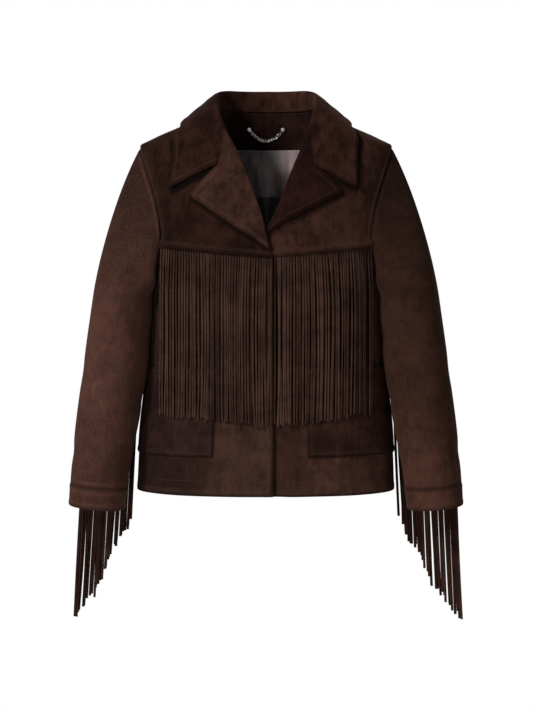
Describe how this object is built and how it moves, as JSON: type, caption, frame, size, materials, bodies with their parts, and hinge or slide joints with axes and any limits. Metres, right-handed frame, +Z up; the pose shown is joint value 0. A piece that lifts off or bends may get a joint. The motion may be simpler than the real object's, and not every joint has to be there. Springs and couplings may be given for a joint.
{
  "type": "fringed suede jacket",
  "caption": "Short suede jacket in its worn, hollow form, with notched lapels, long fringe hanging from the front yokes and from the backs of the sleeves, and patch pockets.",
  "frame": {"origin": "midway between the two points where the shoulder seams meet the neck, where the wearer's neck and shoulders hold the jacket", "axes": "+Z up, -Y to the jacket's front, +X to the wearer's left"},
  "size_m": [0.6368, 0.2499, 0.8757],
  "materials": {
    "brown_suede": "dark brown suede, napped and matt",
    "satin_lining": "grey-brown satin",
    "black_label": "plain black woven label",
    "bright_steel": "polished"
  },
  "bodies": {
    "root": {"back": "brown_suede", "front_right": "brown_suede", "front_left": "brown_suede", "yoke_right": "brown_suede", "yoke_left": "brown_suede", "pocket_right": "brown_suede", "pocket_left": "brown_suede", "lapel_right": "brown_suede", "lapel_left": "brown_suede", "collar": "brown_suede", "sleeve_right": "brown_suede", "sleeve_left": "brown_suede", "cuff_right": "brown_suede", "cuff_left": "brown_suede", "fringe_front_right": "brown_suede", "fringe_front_left": "brown_suede", "fringe_sleeve_right": "brown_suede", "fringe_sleeve_left": "brown_suede", "back_neck_facing": "brown_suede", "back_lining": "satin_lining", "label": "black_label", "chain_stud_right": "bright_steel", "chain_stud_left": "bright_steel", "hanger_chain": "bright_steel"}
  },
  "joints": []
}
